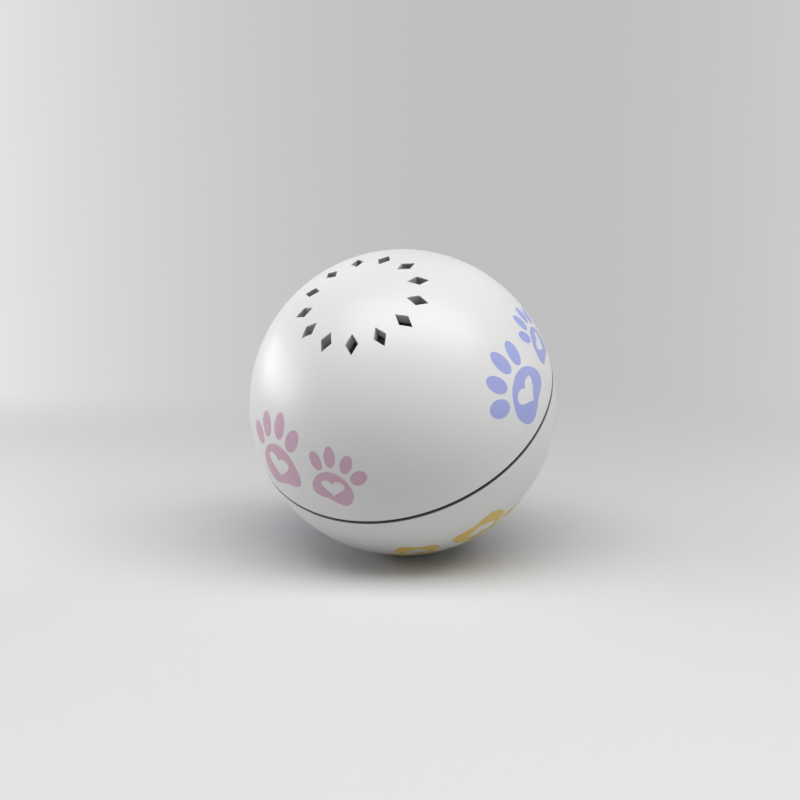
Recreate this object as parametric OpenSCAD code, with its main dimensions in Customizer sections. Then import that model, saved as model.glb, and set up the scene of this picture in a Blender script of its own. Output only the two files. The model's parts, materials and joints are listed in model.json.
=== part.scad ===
// Self-rolling cat ball: two shell halves round a geared drive pod, with a vented catnip cup.
// X runs along the axles, +Z is up, and the origin is the centre of the ball.

/* [Ball] */
// Outside diameter of the ball
ball_d = 75; // [74:0.5:90]
// Wall of the vented upper half
upper_wall = 2.4; // [1.8:0.1:3]
// Wall of the lower half, thicker so that it balances the cup
lower_wall = 3; // [2.4:0.1:3.6]
// Lean of the pole axis from upright as the ball lies, in degrees
shell_roll = 37; // [0:1:90]

/* [Vents] */
// Number of diamond vents in the ring
vent_count = 13; // [8:1:16]
// Radius of the vent ring, seen along the pole
vent_ring_r = 13.9; // [12:0.1:14.2]
// Length of a diamond, along the meridian
vent_l = 4.9; // [3:0.1:5.4]
// Width of a diamond
vent_w = 3.2; // [2:0.1:4]
// Thickness of the dark screen behind the vents
screen_t = 0.5; // [0.4:0.1:1]

/* [Seam and bayonet] */
// Open gap between the two rims
seam_gap = 0.7; // [0.5:0.1:1.2]
// Depth of the seal below the outside of the ball
seal_recess = 0.8; // [0.4:0.1:1]
// Radial width of the seal
seal_w = 0.9; // [0.7:0.1:1.2]
// Height of the spigot over the seam plane
spigot_h = 4.5; // [4.3:0.1:6]
// Wall of the spigot
spigot_wall = 1.5; // [1.2:0.1:2]
// Chamfer on the outer edges of the two rims
rim_edge = 0.15; // [0.1:0.05:0.3]
// Depth of the thick rim under the seam
rim_h = 2.5; // [1.5:0.1:4]
// Number of bayonet lugs
lug_count = 3; // [2:1:4]
// Reach of a lug out of the spigot
lug_reach = 0.9; // [0.7:0.1:1]
// Height of a lug
lug_h = 1.6; // [1:0.1:1.8]
// Arc of a lug, in degrees
lug_arc = 12; // [8:1:18]
// Height of the lip that a lug holds down
lip_h = 0.9; // [0.7:0.1:1]
// Turn that locks the two halves, in degrees
lock_turn = 25; // [15:1:30]

/* [Catnip cup] */
// Outside radius of the cup
cup_r = 18.1; // [17.9:0.1:18.8]
// Wall of the cup
cup_wall = 1.2; // [1:0.1:1.5]
// Thickness of the cup's floor and flange
cup_floor = 1; // [0.8:0.1:1.4]
// Height of the grip rib under the floor
grip_h = 1; // [0.8:0.1:1.5]
// Length of the grip rib
grip_l = 26; // [16:1:32]
// Thickness of the grip rib
grip_w = 2.4; // [1.6:0.1:4]
// Wall of the collar that takes the cup
collar_wall = 1.4; // [1.2:0.1:2]
// Turn that frees the cup, in degrees
cup_turn = 35; // [20:1:45]

/* [Drive pod] */
// Outside radius of the drum
pod_r = 20; // [18:0.1:22]
// Half length of the drum
pod_half_l = 23.5; // [21.5:0.1:26]
// Rounding of the drum's ends
pod_round = 4; // [3:0.5:5]
// Wall of the drum
pod_wall = 1.8; // [1.4:0.1:2]
// End walls of the drum, which carry the bushes
pod_end = 2.6; // [2:0.1:3]
// Depth of the control panel below the crown of the drum
panel_depth = 3.5; // [3:0.1:3.8]
// Width of the control panel
panel_w = 16; // [14:0.5:17]
// Thickness of ribs and rails inside the pod
rib_t = 1.2; // [1:0.1:1.5]

/* [Axles] */
// Diameter of the running part of an axle
axle_d = 4; // [3.6:0.1:4.4]
// Side of the square axle head
head_s = 5; // [4.4:0.1:5.4]
// Diameter of the axle collar
collar_d = 8; // [7:0.1:9]
// Thickness of the axle collar
collar_t = 1.2; // [0.8:0.1:1.4]
// Outside diameter of a bush
bush_d = 7; // [6.4:0.1:7.6]
// Diameter of the bush flange
flange_d = 9; // [8.4:0.1:10]
// Thickness of the bush flange
flange_t = 1.2; // [0.8:0.1:1.4]
// Length of the square axle head in its saddle
head_l = 3.4; // [3:0.1:4]
// Width of an axle saddle
saddle_w = 13; // [12:0.5:16]
// Length of the keeper over the axle head
keeper_l = 2.8; // [2.4:0.1:3.2]
// Thickness of the keeper
keeper_t = 1.8; // [1.4:0.1:2.2]

/* [Gear train] */
// Gear module
gear_module = 0.4; // [0.38:0.01:0.41]
// Teeth on each wheel
wheel_teeth = 32; // [28:1:34]
// Teeth on each pinion
pinion_teeth = 10; // [10:1:11]
// Face width of each gear
gear_face = 2; // [1.6:0.1:2.1]
// Diameter of the gear pins
pin_d = 1.5; // [1.2:0.1:1.6]
// Thickness of the gear plate
plate_t = 1.2; // [1:0.1:1.5]

/* [Motor] */
// Width of the motor can
motor_w = 10; // [9:0.1:11]
// Height of the motor can between its flats
motor_h = 8; // [7:0.1:8.8]
// Length of the motor can
motor_l = 11.5; // [10:0.1:13]
// Sheet of the motor can
can_wall = 0.7; // [0.5:0.1:1]
// Length of the motor end cap
endcap_l = 2.2; // [2:0.1:3]
// Diameter of the motor shaft
shaft_d = 1; // [0.8:0.1:1.2]

/* [Battery, ballast and board] */
// Diameter of the cell
cell_d = 10.5; // [9:0.1:12]
// Length of the cell
cell_l = 22; // [20:0.5:24.5]
// Height of the cell's axis
cell_z = -5.5; // [-6.4:0.1:-5]
// Length of the ballast
ballast_l = 18; // [12:0.5:21]
// Height of the ballast over the drum's floor
ballast_h = 6; // [4.5:0.1:6.6]
// Width of the board
board_w = 24; // [22:0.1:26]
// Thickness of the board
board_t = 1.2; // [0.8:0.1:1.6]
// Height of the board's underside
board_z = 8; // [7:0.1:8.2]
// Diameter of a wire
lead_d = 1; // [0.8:0.1:1.2]

/* [Button, lens and socket] */
// Diameter of the power button
button_d = 5.6; // [4.6:0.1:6.6]
// Travel of the power button
button_travel = 0.5; // [0.3:0.1:0.6]
// Diameter of the status lens
lens_d = 2.8; // [2:0.1:3.4]
// Outside width of the charging socket
socket_w = 8.94; // [8.9:0.01:9]
// Outside thickness of the charging socket
socket_t = 3.2; // [3.16:0.01:3.3]

/* [Screws] */
// Shank diameter of the pod, keeper and board screws
screw_d = 1.9; // [1.6:0.1:2]
// Head diameter of those screws
screw_head_d = 3.5; // [3:0.1:3.6]
// Head height of those screws
screw_head_h = 1.2; // [0.8:0.1:1.4]

/* [Clearances] */
// Between pieces that turn or slide on each other
fit = 0.25; // [0.2:0.05:0.35]
// Round a shaft in its bearing
run_fit = 0.05; // [0.03:0.01:0.1]
// Round a pressed or screwed shank
press_fit = 0.03; // [0.02:0.01:0.05]
// Beside a piece that is dropped into its seat
seat_gap = 0.2; // [0.1:0.05:0.3]
// Play between gear teeth at the pitch circle
backlash = 0.07; // [0.05:0.01:0.1]

/* [Hidden] */
$fn = 96;

// Seam, from the outside in
ball_r = ball_d / 2;
upper_in = ball_r - upper_wall;
lower_in = ball_r - lower_wall;
seal_out = ball_r - seal_recess;
seal_in = seal_out - seal_w;
lug_r = seal_in - fit;
spigot_r = lug_r - lug_reach;
spigot_in = spigot_r - spigot_wall;
spigot_chamfer = 0.4;
bore_r = spigot_r + fit;
bore_top = spigot_h + 2 * fit;
groove_r = lug_r + fit;
rim_z = seam_gap / 2;
leg_z = rim_z + lip_h;
lug_z = leg_z + fit;
leg_top = lug_z + lug_h + fit;
lug_slack = 1.5;
lug_root = 0.5;
first_lug = 90;
over = 1;

// Vents, whose ring starts straight behind the axle
first_vent = 90;
screen_lap = 0.4;
screen_r = vent_ring_r + vent_l / 2 + screen_lap;
screen_out = upper_in - seat_gap;
screen_in = screen_out - screen_t;

// Catnip cup, stacked up from the drum that turns under it
pod_clear = 0.6;
grip_z = pod_r + pod_clear;
cup_z = grip_z + grip_h;
cup_in = cup_r - cup_wall;
cup_head = 0.4;
cup_top = sqrt(screen_in * screen_in - cup_r * cup_r) - cup_head;
collar_in = cup_r + fit;
collar_out = collar_in + collar_wall;
collar_z = cup_z + cup_floor + fit;
cup_inset = [0.1, 0.2];
cup_flange_r = collar_out - cup_inset[0];
cup_lug_h = 1;
cup_lug_arc = 14;
cup_lip_h = 0.6;
cup_lug_z = collar_z + cup_lip_h + fit;
cup_lug_r = collar_out - cup_inset[1];

// Drive pod, from its ends in
drum_in = pod_r - pod_wall;
pod_in_l = pod_half_l - pod_end;
pod_round_less = 1;
pod_in_round = pod_round - pod_round_less;
panel_z = pod_r - panel_depth;
panel_under = panel_z - pod_wall;

// Axle line, from the pod's end out to the spigot
air = 0.4;
collar_x = pod_half_l + air;
saddle_x = collar_x + collar_t + air;
head_end = saddle_x + head_l;
saddle_foot = 6;
keeper_inset = 0.3;
keeper_x = saddle_x + keeper_inset;
keeper_screw_x = keeper_x + keeper_l / 2;
keeper_screw_y = (saddle_w + head_s) / 4;
keeper_screw_l = 6;
bush_x = pod_in_l - flange_t;

// Gear layers along the axle, from the bush flange in
pressure = 20;
wheel_add = 0.6;
pinion_add = 1;
tooth_clear = 0.25;
flank_steps = 3;
wheel_r = gear_module * wheel_teeth / 2;
pinion_r = gear_module * pinion_teeth / 2;
wheel_tip = wheel_r + wheel_add * gear_module;
pinion_tip = pinion_r + pinion_add * gear_module;
wheel_root = wheel_r - (pinion_add + tooth_clear) * gear_module;
pinion_root = pinion_r - (wheel_add + tooth_clear) * gear_module;
gear_cd = wheel_r + pinion_r;
hub_l = 0.7;
hub_wall = 1.2;
end_play = 0.3;
layer_gap = [0.5, 0.7];
out_end = bush_x - end_play;
out_x = out_end - hub_l - gear_face;
mid_x = out_x - layer_gap[1] - gear_face;
low_x = mid_x - layer_gap[0] - gear_face;
plate_end = low_x - end_play;
plate_x = plate_end - plate_t;
axle_x = out_x - seat_gap;
axle_r = axle_d / 2;
axle_stub = 0.5;
flat_depth = 0.5;
axle_flat = axle_r - flat_depth;
pin_r = pin_d / 2;
hub_r = pinion_root;
boss_r = gear_cd - wheel_tip - end_play;
pin_recess = 2.5;
pin_saddle_w = 4.8;

// Motor, hung below the axle from the gear plate
motor_z = -gear_cd;
motor_x = plate_x - motor_l;
endcap_x = motor_x - endcap_l;
motor_boss_r = 2;
motor_screw_in = 1.4;
motor_screw_y = motor_w / 2 - motor_screw_in;
motor_screw_r = 0.6;
motor_screw_l = 2.6;
motor_head_r = 1;
motor_head_h = 0.8;
cap_floor = 0.6;
cap_lip = 1;
terminal_x = endcap_x + cap_floor;
terminal_t = 0.8;
terminal_w = 1;
terminal_root = 2;
terminal_reach = 1.6;
terminal_in = motor_w / 2 - terminal_root;
terminal_out = motor_w / 2 + terminal_reach;
rotor_air = 0.7;
rotor_end = 2;
brush_l = 1.4;
brush_r = 1.6;

// Cell, board and the ballast, which lies toward the cell to balance the motor and the gears
cell_x = -bush_x + end_play + cell_d / 2;
cell_cap_h = 0.8;
cradle_y = 8.6;
trough_gap = 0.6;
trough_z = motor_z - motor_h / 2 - trough_gap;
ballast_r = drum_in - seat_gap;
ballast_top = ballast_h - ballast_r;
ballast_gap = 1.3;
ballast_x = cell_x + cell_d / 2 + ballast_gap;
stop_top = min(ballast_top, trough_z) - 2 * air;
stop_w = 16;
board_inset = [0.9, 0.7];
board_x = board_inset[0] - pod_in_l;
board_end = plate_x - board_inset[1];
board_top = board_z + board_t;
post_r = 2;
post_in = [2.4, 2.6];
post_y = board_w / 2 - post_in[1];
post_x = [board_x + post_in[0], board_end - post_in[0]];
board_screw_l = 6;

// Panel, from the end by the cell to the end by the gears
panel_inset = [3.5, 1.3];
panel_x = board_x + panel_inset[0];
panel_end = board_end - panel_inset[1];
socket_in = 6;
button_in = 5.5;
socket_x = panel_x + socket_in;
button_x = panel_end - button_in;
lens_x = (socket_x + button_x) / 2;
lens_y = 4.6;
socket_low = 0.3;
socket_top = panel_z - socket_low;
socket_sheet = 0.3;
socket_base = 0.8;
socket_floor = board_top + socket_base;
tongue_w = 6.7;
tongue_t = 0.7;
tongue_low = 0.8;
tongue_foot = 0.5;
flange_gap = 0.3;
button_flange_t = 0.8;
button_proud = 0.9;
button_flange_w = 0.7;
button_flange_r = button_d / 2 + button_flange_w;
button_dish = 0.25;
button_rim = 0.5;
flange_top = panel_under - flange_gap;
flange_z = flange_top - button_flange_t;
switch_s = 6;
switch_base = 0.3;
switch_floor = board_top + switch_base;
plunger_r = 1.6;
plunger_proud = 0.8;
stem_l = 0.4;
plunger_top = flange_z - stem_l;
switch_top = plunger_top - plunger_proud;
lens_flange_w = 0.5;
lens_flange_r = lens_d / 2 + lens_flange_w;
lens_flange_t = 1;
lens_lift = 0.9;
lens_z = board_top + lens_lift;
lens_proud = 0.2;

// Components on the board, as length, width and height
chip_y = 7.4;
controller = [4, 4, 0.8];
charger = [3, 3, 0.8];
choke = [4, 4, 1.8];
led = [1.6, 0.8, 0.6];
resistor = [2, 1.2, 0.6];
capacitor_d = 4;
capacitor_h = 2.6;

// Screws that close the pod
pod_boss_r = 2.2;
cover_boss_r = 2.6;
pod_screw_in = [1.5, 2];
pod_screw_x = [pod_screw_in[0] - bush_x, plate_end + rib_t + cover_boss_r + end_play];
pod_screw_y = drum_in - pod_screw_in[1];
pod_screw_seat = 6;
pod_screw_l = 12;
screw_tip_gap = 0.5;
rail_w = 4.2;
rail_y = drum_in - rail_w;
rail_gap = 0.1;
rail_short = 1;

// Places and shared shapes
module on_shell() { rotate([shell_roll, 0, 0]) children(); }

module both_ends() {
    children();
    mirror([1, 0, 0]) children();
}

module at_pairs(x, y) {
    for (px = x, s = [-1, 1]) translate([px, s * y, 0]) children();
}

module along_x(x0, x1, r) {
    translate([x0, 0, 0]) rotate([0, 90, 0]) cylinder(r = r, h = x1 - x0);
}

module ring_sector(r0, r1, z0, z1, a0, a1) {
    rotate([0, 0, a0]) rotate_extrude(angle = a1 - a0) translate([r0, z0]) square([r1 - r0, z1 - z0]);
}

module stadium(w, t) {
    square([w - t, t], center = true);
    for (s = [-1, 1]) translate([s * (w - t) / 2, 0]) circle(d = t);
}

module screw(shank_l) {
    translate([0, 0, -shank_l]) cylinder(d = screw_d, h = shank_l);
    cylinder(d = screw_head_d, h = screw_head_h);
}

// Shell halves
module half_plane(up) {
    translate([0, up ? rim_z : -ball_r - over]) square([ball_r + over, ball_r + over - rim_z]);
}

// What a chamfer takes off the outer edge of a rim
module rim_corner() {
    polygon([
        [ball_r - rim_edge - over, rim_z - over], [ball_r + over, rim_z - over],
        [ball_r + over, rim_z + rim_edge + over]
    ]);
}

module upper_profile() {
    difference() {
        intersection() {
            circle(ball_r);
            half_plane(true);
        }
        intersection() {
            circle(upper_in);
            translate([0, bore_top - over / 2]) square(ball_r);
        }
        square([bore_r, bore_top]);
        rim_corner();
    }
}

module collar_profile() {
    intersection() {
        circle(ball_r - upper_wall / 2);
        translate([collar_in, collar_z]) square([collar_wall, ball_r]);
    }
}

module vents() {
    for (k = [0 : vent_count - 1])
        rotate([0, 0, first_vent + k * 360 / vent_count])
            translate([vent_ring_r, 0, ball_r / 2])
                linear_extrude(ball_r)
                    polygon([[-vent_l / 2, 0], [0, -vent_w / 2], [vent_l / 2, 0], [0, vent_w / 2]]);
}

// The path of a lug: in at one end, then round under the lip to the other end
module lug_paths(r0, r1, z_in, z0, z1, a0, a1, a_in, arc) {
    side = arc / 2 + lug_slack;
    side_in = side - lug_slack / 4;
    for (k = [0 : lug_count - 1]) rotate([0, 0, k * 360 / lug_count]) {
        ring_sector(r0, r1, z0, z1, a0 - side, a1 + side);
        ring_sector(r0, r1 - press_fit, z_in, (z0 + z1) / 2, a_in - side_in, a_in + side_in);
    }
}

module lock_grooves() {
    rotate([0, 0, first_lug])
        lug_paths(bore_r - over, groove_r, 0, leg_z, leg_top, -lock_turn, 0, 0, lug_arc);
}

module cup_windows() {
    lug_paths(collar_in - over, collar_out + over, collar_z - over,
        cup_lug_z - fit, cup_lug_z + cup_lug_h + fit, 0, cup_turn, cup_turn, cup_lug_arc);
}

module upper_shell() {
    color("#f2f2f0") on_shell() difference() {
        rotate_extrude() {
            upper_profile();
            collar_profile();
        }
        vents();
        lock_grooves();
        cup_windows();
    }
}

module lower_profile() {
    difference() {
        intersection() {
            circle(ball_r);
            half_plane(false);
        }
        circle(lower_in);
        mirror([0, 1]) rim_corner();
    }
    intersection() {
        circle(ball_r);
        polygon([
            [spigot_in, -rim_z], [ball_r - rim_edge, -rim_z], [ball_r, -rim_z - rim_edge],
            [ball_r, -rim_h - ball_r + spigot_in], [spigot_in, -rim_h]
        ]);
    }
    polygon([
        [spigot_in, -rim_h], [spigot_r, -rim_h],
        [spigot_r, spigot_h - spigot_chamfer], [spigot_r - spigot_chamfer, spigot_h], [spigot_in, spigot_h]
    ]);
}

module saddle() {
    difference() {
        intersection() {
            translate([0, saddle_w / 2, 0]) rotate([90, 0, 0]) linear_extrude(saddle_w)
                polygon([
                    [saddle_x, head_s / 2], [ball_r, head_s / 2],
                    [ball_r, -saddle_foot - ball_r + saddle_x], [saddle_x, -saddle_foot]
                ]);
            rotate_extrude() {
                translate([0, -rim_z]) square([spigot_in + spigot_wall / 2, head_s]);
                intersection() {
                    circle(ball_r - lower_wall / 2);
                    half_plane(false);
                }
            }
        }
        translate([0, -head_s / 2 - press_fit, -head_s / 2])
            cube([head_end + seat_gap, head_s + 2 * press_fit, head_s + over]);
        for (s = [-1, 1])
            translate([keeper_screw_x, s * keeper_screw_y, head_s / 2 - keeper_screw_l])
                cylinder(r = screw_d / 2 + press_fit, h = keeper_screw_l + over);
    }
}

module lower_shell() {
    color("#f2f2f0") on_shell() {
        rotate_extrude() lower_profile();
        for (k = [0 : lug_count - 1])
            rotate([0, 0, first_lug + k * 360 / lug_count])
                ring_sector(spigot_r - lug_root, lug_r, lug_z, lug_z + lug_h, -lug_arc / 2, lug_arc / 2);
        both_ends() saddle();
    }
}

module seam_seal() {
    color("#2c2c2e") on_shell()
        rotate_extrude() translate([seal_in, -rim_z]) square([seal_w, seam_gap]);
}

module vent_screen() {
    color("#1d1d1f") on_shell() rotate_extrude() intersection() {
        difference() {
            circle(screen_out);
            circle(screen_in);
        }
        square([screen_r, ball_r]);
    }
}

module catnip_cup() {
    color("#3a3a3d") on_shell() {
        rotate_extrude() {
            translate([0, cup_z]) square([cup_flange_r, cup_floor]);
            translate([cup_in, cup_z]) square([cup_wall, cup_top - cup_z]);
        }
        for (k = [0 : lug_count - 1])
            rotate([0, 0, k * 360 / lug_count])
                ring_sector(cup_in + cup_wall / 2, cup_lug_r, cup_lug_z, cup_lug_z + cup_lug_h,
                    -cup_lug_arc / 2, cup_lug_arc / 2);
        translate([-grip_l / 2, -grip_w / 2, grip_z]) cube([grip_l, grip_w, grip_h + cup_floor / 2]);
    }
}

// Axles and what holds them
module axle(x0) {
    along_x(x0, collar_x + collar_t / 2, axle_r);
    along_x(collar_x, collar_x + collar_t, collar_d / 2);
    on_shell() translate([collar_x + collar_t / 2, -head_s / 2, -head_s / 2])
        cube([head_end - collar_x - collar_t / 2, head_s, head_s]);
}

module drive_axle() {
    color("#b9bcc0") difference() {
        axle(axle_x);
        along_x(axle_x - over, axle_x + pin_recess, pin_r + run_fit);
        translate([axle_x - over, -axle_r, axle_flat]) cube([out_end - axle_x + over, axle_d, axle_r]);
    }
}

module idle_axle() {
    color("#b9bcc0") mirror([1, 0, 0]) axle(bush_x - axle_stub);
}

module keeper() {
    difference() {
        translate([keeper_x, -saddle_w / 2, head_s / 2])
            cube([keeper_l, saddle_w, keeper_t]);
        for (s = [-1, 1])
            translate([keeper_screw_x, s * keeper_screw_y, 0])
                cylinder(r = screw_d / 2 + press_fit, h = ball_r);
    }
}

module axle_keepers() {
    color("#d6d6d4") on_shell() both_ends() keeper();
}

module keeper_screws() {
    color("#8f9296") on_shell()
        at_pairs([-keeper_screw_x, keeper_screw_x], keeper_screw_y)
            translate([0, 0, head_s / 2 + keeper_t]) screw(keeper_t + keeper_screw_l - screw_tip_gap);
}

module bush() {
    difference() {
        union() {
            along_x(bush_x, pod_half_l, bush_d / 2);
            along_x(bush_x, pod_in_l - seat_gap / 2, flange_d / 2);
        }
        along_x(0, ball_r, axle_r + run_fit);
    }
}

module axle_bushes() {
    color("#c8a15a") both_ends() bush();
}

// Drive pod
module drum(r, half_l, corner) {
    rotate([0, 90, 0]) rotate_extrude() {
        translate([0, -half_l]) square([r - corner, 2 * half_l]);
        translate([0, corner - half_l]) square([r, 2 * (half_l - corner)]);
        for (s = [-1, 1]) translate([r - corner, s * (half_l - corner)]) circle(corner);
    }
}

module pod_outside() { drum(pod_r, pod_half_l, pod_round); }
module pod_inside() { drum(drum_in, pod_in_l, pod_in_round); }

module half_space(up) {
    translate([-ball_d / 2, -ball_d / 2, up ? 0 : -ball_d]) cube(ball_d);
}

module bush_seats() {
    both_ends() along_x(pod_in_l - over, pod_half_l + over, bush_d / 2 + press_fit);
}

// A pair of rails on each side wall holds the edge of the gear plate
module plate_rails(z0, z1) {
    for (x = [plate_x - rail_gap - rib_t, plate_end + rail_gap], s = [-1, 1])
        translate([x, s > 0 ? rail_y : -pod_r, z0]) cube([rib_t, pod_r - rail_y, z1 - z0]);
}

module cell_cradle() {
    difference() {
        for (s = [-1, 1])
            translate([cell_x - cell_d / 2, s * cradle_y - rib_t / 2, -pod_r])
                cube([cell_d, rib_t, pod_r + cell_z - cell_d / 4]);
        translate([cell_x, 0, cell_z]) rotate([90, 0, 0])
            cylinder(d = cell_d + seat_gap, h = cell_l, center = true);
    }
}

module ballast_stops() {
    for (x = [ballast_x - rib_t - seat_gap, ballast_x + ballast_l + seat_gap])
        translate([x, -stop_w / 2, -pod_r]) cube([rib_t, stop_w, pod_r + stop_top]);
}

module pod_base() {
    color("#55585c") difference() {
        union() {
            difference() {
                pod_outside();
                pod_inside();
            }
            intersection() {
                union() {
                    at_pairs(pod_screw_x, pod_screw_y)
                        translate([0, 0, -pod_r]) cylinder(r = pod_boss_r, h = pod_r);
                    plate_rails(-pod_r / 2, 0);
                    cell_cradle();
                    ballast_stops();
                }
                drum(pod_r - pod_wall / 2, pod_half_l - pod_end / 2, pod_in_round);
            }
        }
        half_space(true);
        bush_seats();
        at_pairs(pod_screw_x, pod_screw_y)
            translate([0, 0, pod_screw_seat - pod_screw_l - screw_tip_gap])
                cylinder(r = screw_d / 2 + press_fit, h = pod_screw_l);
    }
}

// The free end of the second gear's pin drops into a slot in this rib
module pin_saddle() {
    difference() {
        translate([bush_x, -pin_saddle_w / 2, gear_cd - pin_d]) cube([flange_t + over, pin_saddle_w, pod_r]);
        translate([0, 0, gear_cd]) along_x(0, pod_in_l, pin_r + press_fit);
        translate([0, -pin_r - press_fit, 0]) cube([pod_in_l, 2 * (pin_r + press_fit), gear_cd]);
    }
}

module panel_pad() {
    translate([panel_x - pod_wall, -panel_w / 2 - pod_wall, panel_under])
        cube([panel_end - panel_x + 2 * pod_wall, panel_w + 2 * pod_wall, pod_r]);
}

module board_posts() {
    at_pairs(post_x, post_y) translate([0, 0, board_top]) cylinder(r = post_r, h = pod_r);
}

module panel_cuts() {
    translate([panel_x, -panel_w / 2, panel_z]) cube([panel_end - panel_x, panel_w, pod_r]);
    translate([socket_x, 0, panel_under - over]) rotate([0, 0, 90])
        linear_extrude(pod_r) stadium(socket_w + 2 * fit, socket_t + 2 * fit);
    translate([button_x, 0, panel_under - over]) cylinder(d = button_d + 2 * fit, h = pod_r);
    translate([lens_x, lens_y, panel_under - over]) cylinder(d = lens_d + 2 * press_fit, h = pod_r);
}

module pod_cover() {
    color("#63666b") difference() {
        union() {
            difference() {
                pod_outside();
                pod_inside();
            }
            intersection() {
                union() {
                    at_pairs(pod_screw_x, pod_screw_y) cylinder(r = cover_boss_r, h = pod_r);
                    plate_rails(0, board_z - rail_short);
                    pin_saddle();
                    panel_pad();
                    board_posts();
                }
                drum(pod_r - pod_wall / 2, pod_half_l - pod_end / 2, pod_in_round);
            }
        }
        half_space(false);
        bush_seats();
        panel_cuts();
        at_pairs(pod_screw_x, pod_screw_y) {
            translate([0, 0, -over]) cylinder(r = screw_d / 2 + press_fit, h = pod_r);
            translate([0, 0, pod_screw_seat]) cylinder(d = screw_head_d + 2 * fit, h = pod_r);
        }
        at_pairs(post_x, post_y) cylinder(r = screw_d / 2 + press_fit, h = board_z + board_screw_l + end_play);
    }
}

module pod_screws() {
    color("#8f9296") at_pairs(pod_screw_x, pod_screw_y)
        translate([0, 0, pod_screw_seat]) screw(pod_screw_l);
}

// Gear train: 20 degree involute teeth with short wheel teeth, so that small pinions run clear
function involute(a) = tan(a) * 180 / PI - a;
function half_tooth(r, pitch_r, teeth) =
    let (base_r = pitch_r * cos(pressure))
    90 / teeth - backlash / 4 / pitch_r * 180 / PI + involute(pressure) - involute(acos(min(1, base_r / r)));
function polar(r, a) = [r * cos(a), r * sin(a)];
function tooth(at, pitch_r, root, tip, teeth) =
    let (
        start = max(root, pitch_r * cos(pressure)),
        radii = [for (k = [0 : flank_steps]) start + (tip - start) * k / flank_steps],
        foot = half_tooth(start, pitch_r, teeth)
    )
    concat(
        [polar(root, at - foot)],
        [for (r = radii) polar(r, at - half_tooth(r, pitch_r, teeth))],
        [for (k = [0 : flank_steps])
            let (r = radii[flank_steps - k]) polar(r, at + half_tooth(r, pitch_r, teeth))],
        [polar(root, at + foot)]
    );

module spur(teeth, pitch_r, root, tip, x0, at) {
    translate([x0, 0, 0]) rotate([90, 0, 90]) linear_extrude(gear_face)
        polygon([for (k = [0 : teeth - 1]) each tooth(at + k * 360 / teeth, pitch_r, root, tip, teeth)]);
}

// A wheel has a tooth space, and a pinion a tooth, at the angle where it meshes
module wheel(x0, mesh) { spur(wheel_teeth, wheel_r, wheel_root, wheel_tip, x0, mesh + 180 / wheel_teeth); }
module pinion(x0, mesh) { spur(pinion_teeth, pinion_r, pinion_root, pinion_tip, x0, mesh); }

module first_gear() {
    color("#efe6c8") difference() {
        union() {
            wheel(low_x, -90);
            along_x(low_x, mid_x + gear_face, hub_r);
            pinion(mid_x, 90);
        }
        along_x(0, pod_half_l, pin_r + run_fit);
    }
}

module second_gear() {
    color("#efe6c8") translate([0, 0, gear_cd]) difference() {
        union() {
            along_x(low_x, mid_x + gear_face, boss_r);
            wheel(mid_x, -90);
            along_x(mid_x, out_x + gear_face, hub_r);
            pinion(out_x, -90);
        }
        along_x(0, pod_half_l, pin_r + run_fit);
    }
}

module output_gear() {
    color("#efe6c8") difference() {
        union() {
            wheel(out_x, 90);
            along_x(out_x, out_end, axle_r + hub_wall);
        }
        intersection() {
            along_x(0, pod_half_l, axle_r + press_fit);
            translate([0, -ball_r, -ball_d]) cube([ball_d, ball_d, ball_d + axle_flat + press_fit]);
        }
    }
}

module gear_plate() {
    color("#c9ccd0") difference() {
        intersection() {
            along_x(plate_x, plate_end, drum_in - seat_gap);
            union() {
                translate([0, -pod_r, ballast_top + end_play]) cube(ball_d);
                translate([0, -motor_w / 2, trough_z + end_play]) cube([ball_d, motor_w, motor_h]);
            }
        }
        for (z = [0, gear_cd]) translate([0, 0, z]) along_x(0, pod_half_l, pin_r + press_fit);
        translate([0, 0, motor_z]) {
            along_x(0, pod_half_l, motor_boss_r + press_fit);
            for (s = [-1, 1])
                translate([0, s * motor_screw_y, 0]) along_x(0, pod_half_l, motor_screw_r + press_fit);
        }
    }
}

module gear_pins() {
    color("#b9bcc0") {
        along_x(plate_x, axle_x + pin_recess - seat_gap, pin_r);
        translate([0, 0, gear_cd]) along_x(plate_x, pod_in_l - rail_gap, pin_r);
    }
}

// Motor
module motor_form(x0, x1, inset) {
    intersection() {
        along_x(x0, x1, motor_w / 2 - inset);
        translate([x0 - over, -motor_w, inset - motor_h / 2])
            cube([x1 - x0 + 2 * over, 2 * motor_w, motor_h - 2 * inset]);
    }
}

module motor_can() {
    color("#aeb1b5") translate([0, 0, motor_z]) difference() {
        union() {
            motor_form(motor_x, plate_x, 0);
            along_x(plate_x - can_wall, plate_end - seat_gap, motor_boss_r);
        }
        motor_form(motor_x - over, plate_x - can_wall, can_wall);
        along_x(0, pod_half_l, shaft_d / 2 + run_fit);
        for (s = [-1, 1])
            translate([0, s * motor_screw_y, 0]) along_x(0, pod_half_l, motor_screw_r + press_fit);
    }
}

// The two terminals, made larger by grow where they are cut out of the end cap
module terminals(grow) {
    for (s = [0, 1]) mirror([0, s, 0])
        translate([terminal_x - grow, terminal_in - grow, -terminal_w / 2 - grow])
            cube([terminal_t + 2 * grow, terminal_out - terminal_in + 2 * grow, terminal_w + 2 * grow]);
}

module motor_endcap() {
    color("#f0efe8") translate([0, 0, motor_z]) difference() {
        union() {
            motor_form(endcap_x, motor_x, 0);
            motor_form(endcap_x, motor_x + cap_lip, can_wall + press_fit);
        }
        along_x(motor_x - seat_gap, motor_x + cap_lip + over, motor_h / 2 - can_wall - rotor_air);
        along_x(endcap_x + cap_floor, motor_x + over, shaft_d / 2 + run_fit);
        terminals(press_fit);
    }
}

module motor_terminals() {
    color("#c79a4b") translate([0, 0, motor_z]) terminals(0);
}

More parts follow.
